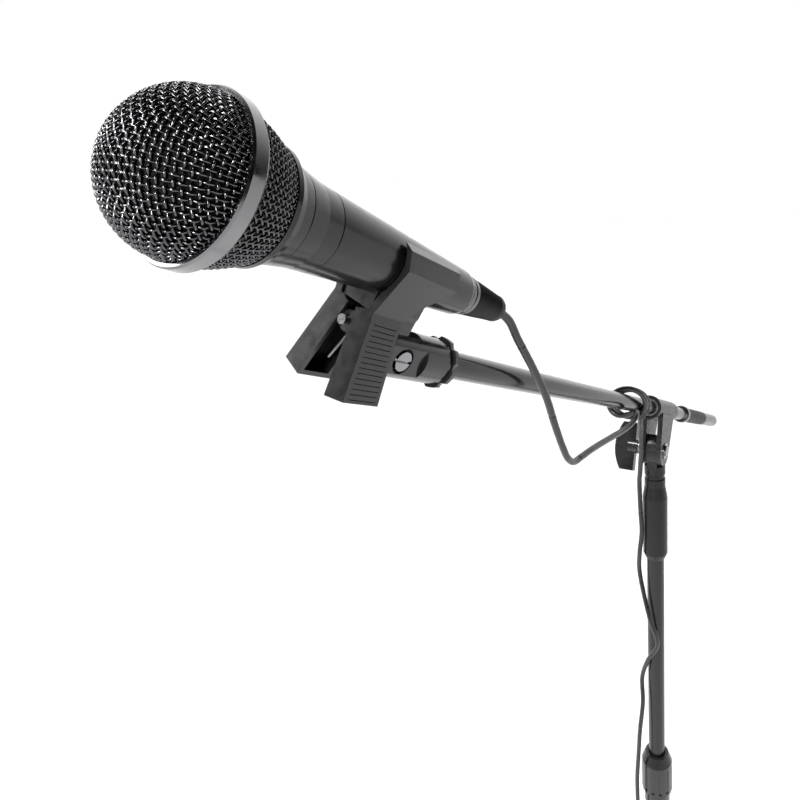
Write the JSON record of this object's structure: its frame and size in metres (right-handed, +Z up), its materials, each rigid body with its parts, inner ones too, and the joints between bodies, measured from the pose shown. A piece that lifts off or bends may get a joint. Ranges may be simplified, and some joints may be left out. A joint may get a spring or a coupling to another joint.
{
  "type": "boom microphone stand",
  "caption": "Boom microphone stand on a folding tripod, with a tilting boom, a spring clip on a swivel, a hand microphone and its lead.",
  "frame": {"origin": "on the floor, in the middle of the box round the stand without its lead", "axes": "+Z up; the boom lies in the XZ plane and the microphone points along -X"},
  "size_m": [0.7768, 0.5806, 1.2496],
  "materials": {
    "cast_black": "satin",
    "tube_black": "gloss",
    "boom_tube": "polished",
    "fastener": "polished",
    "rubber_black": "matt",
    "plastic_black": "satin",
    "plastic_pale": "satin",
    "cap_grey": "satin",
    "mic_paint": "satin",
    "grille_wire": "dark woven wire",
    "band_metal": "polished",
    "foam": "open foam",
    "capsule": "satin",
    "contact": "polished",
    "plug_metal": "satin",
    "lead_jacket": "satin"
  },
  "bodies": {
    "base": {"base_hub": "cast_black", "leg_pins": "fastener", "hub_screw": "fastener", "lower_tube": "tube_black", "base_plug": "plastic_black", "clutch_base": "plastic_black", "lead_coil": "lead_jacket", "end_plug": "plug_metal"},
    "leg_a": {"leg_root_a": "cast_black", "leg_tube_a": "tube_black", "foot_a": "rubber_black"},
    "leg_b": {"leg_root_b": "cast_black", "leg_tube_b": "tube_black", "foot_b": "rubber_black"},
    "leg_c": {"leg_root_c": "cast_black", "leg_tube_c": "tube_black", "foot_c": "rubber_black"},
    "clutch_grip": {"clutch_sleeve": "plastic_black"},
    "slider": {"guide_bush": "plastic_pale"},
    "mast": {"upper_tube": "tube_black", "pole_head": "cast_black", "head_screw": "fastener", "lead_drop": "lead_jacket"},
    "clamp": {"boom_clamp": "cast_black", "clamp_bush": "plastic_pale", "tilt_bolt": "fastener", "tilt_washers": "fastener", "tilt_nut": "fastener", "lead_run": "lead_jacket"},
    "knob": {"tilt_knob": "plastic_black"},
    "boom": {"boom_tube": "boom_tube", "boom_stud": "fastener", "rear_ring": "plastic_black", "grip_sleeve": "rubber_black", "end_cap": "cap_grey"},
    "lock": {"lock_ring": "plastic_black"},
    "swivel": {"clip_barrel": "plastic_black", "swivel_screw": "fastener", "swivel_nut": "fastener"},
    "clip": {"clip_block": "plastic_black", "hinge_pin": "fastener", "jaw_spring": "fastener", "mic_handle": "mic_paint", "mic_neck": "mic_paint", "mic_collar": "mic_paint", "grille_front": "grille_wire", "grille_band": "band_metal", "grille_rear": "grille_wire", "foam": "foam", "capsule": "capsule", "capsule_mount": "rubber_black", "mic_insert": "plastic_black", "mic_pins": "contact"},
    "jaw_near": {"jaw_near": "plastic_black", "pad_near": "rubber_black"},
    "jaw_far": {"jaw_far": "plastic_black", "pad_far": "rubber_black"},
    "switch": {"mic_switch": "plastic_black"},
    "plug": {"plug_body": "plug_metal", "plug_boot": "rubber_black"}
  },
  "joints": [
    {"name": "leg_a_fold", "type": "hinge", "parent": "base", "child": "leg_a", "pos_m": [0.08, 0, 0.078], "axis": [0, 1, 0], "range_deg": [0, 100]},
    {"name": "leg_b_fold", "type": "hinge", "parent": "base", "child": "leg_b", "pos_m": [0.131, 0.02944, 0.078], "axis": [0.866, -0.5, 0], "range_deg": [0, 100]},
    {"name": "leg_c_fold", "type": "hinge", "parent": "base", "child": "leg_c", "pos_m": [0.131, -0.02944, 0.078], "axis": [-0.866, -0.5, 0], "range_deg": [0, 100]},
    {"name": "clutch_turn", "type": "hinge", "parent": "base", "child": "clutch_grip", "pos_m": [0.114, 0, 0.54], "axis": [0, 0, 1], "range_deg": [-180, 180]},
    {"name": "height_slide", "type": "slide", "parent": "base", "child": "slider", "axis": [0, 0, 1], "range_m": [-0.2, 0.16], "deforming": ["lead_drop"]},
    {"name": "mast_turn", "type": "hinge", "parent": "slider", "child": "mast", "pos_m": [0.114, 0, 0.3], "axis": [0, 0, 1], "continuous": true, "deforming": ["lead_drop"]},
    {"name": "boom_tilt", "type": "hinge", "parent": "mast", "child": "clamp", "pos_m": [0.114, 0, 0.95], "axis": [0, 1, 0], "range_deg": [-40, 60], "deforming": ["lead_drop"]},
    {"name": "knob_turn", "type": "hinge", "parent": "clamp", "child": "knob", "pos_m": [0.114, 0.025, 0.95], "axis": [0, 1, 0], "continuous": true},
    {"name": "boom_slide", "type": "slide", "parent": "clamp", "child": "boom", "axis": [-0.9272, 0, 0.3746], "range_m": [-0.12, 0.045], "deforming": ["lead_run"]},
    {"name": "lock_turn", "type": "hinge", "parent": "boom", "child": "lock", "pos_m": [-0.24244, 0, 1.13823], "axis": [-0.9272, 0, 0.3746], "range_deg": [-90, 90]},
    {"name": "clip_turn", "type": "hinge", "parent": "boom", "child": "swivel", "pos_m": [-0.27489, 0, 1.15134], "axis": [-0.9272, 0, 0.3746], "range_deg": [-90, 90], "deforming": ["lead_run"]},
    {"name": "clip_tilt", "type": "hinge", "parent": "swivel", "child": "clip", "pos_m": [-0.27489, 0, 1.15134], "axis": [0.1524, 0.9135, 0.3771], "range_deg": [-80, 10], "deforming": ["lead_run"]},
    {"name": "jaw_near_open", "type": "hinge", "parent": "clip", "child": "jaw_near", "pos_m": [-0.28935, -0.00359, 1.16588], "axis": [0.9211, 0.0071, -0.3893], "range_deg": [0, 12], "stiffness_Nm_per_rad": 0.5, "springref_deg": -20.05, "deforming": ["jaw_spring"]},
    {"name": "jaw_far_open", "type": "hinge", "parent": "clip", "child": "jaw_far", "pos_m": [-0.28935, -0.00359, 1.16588], "axis": [-0.9211, -0.0071, 0.3893], "range_deg": [0, 12], "stiffness_Nm_per_rad": 0.5, "springref_deg": -20.05, "deforming": ["jaw_spring"]},
    {"name": "switch_slide", "type": "slide", "parent": "clip", "child": "switch", "axis": [0.9211, 0.0071, -0.3893], "range_m": [-0.0015, 0.0015]},
    {"name": "plug_pull", "type": "slide", "parent": "clip", "child": "plug", "axis": [0.9211, 0.0071, -0.3893], "range_m": [0, 0.02], "deforming": ["lead_run"]}
  ],
  "couplings": [
    {"joint": "jaw_far_open", "follows": "jaw_near_open", "ratio": 1}
  ]
}
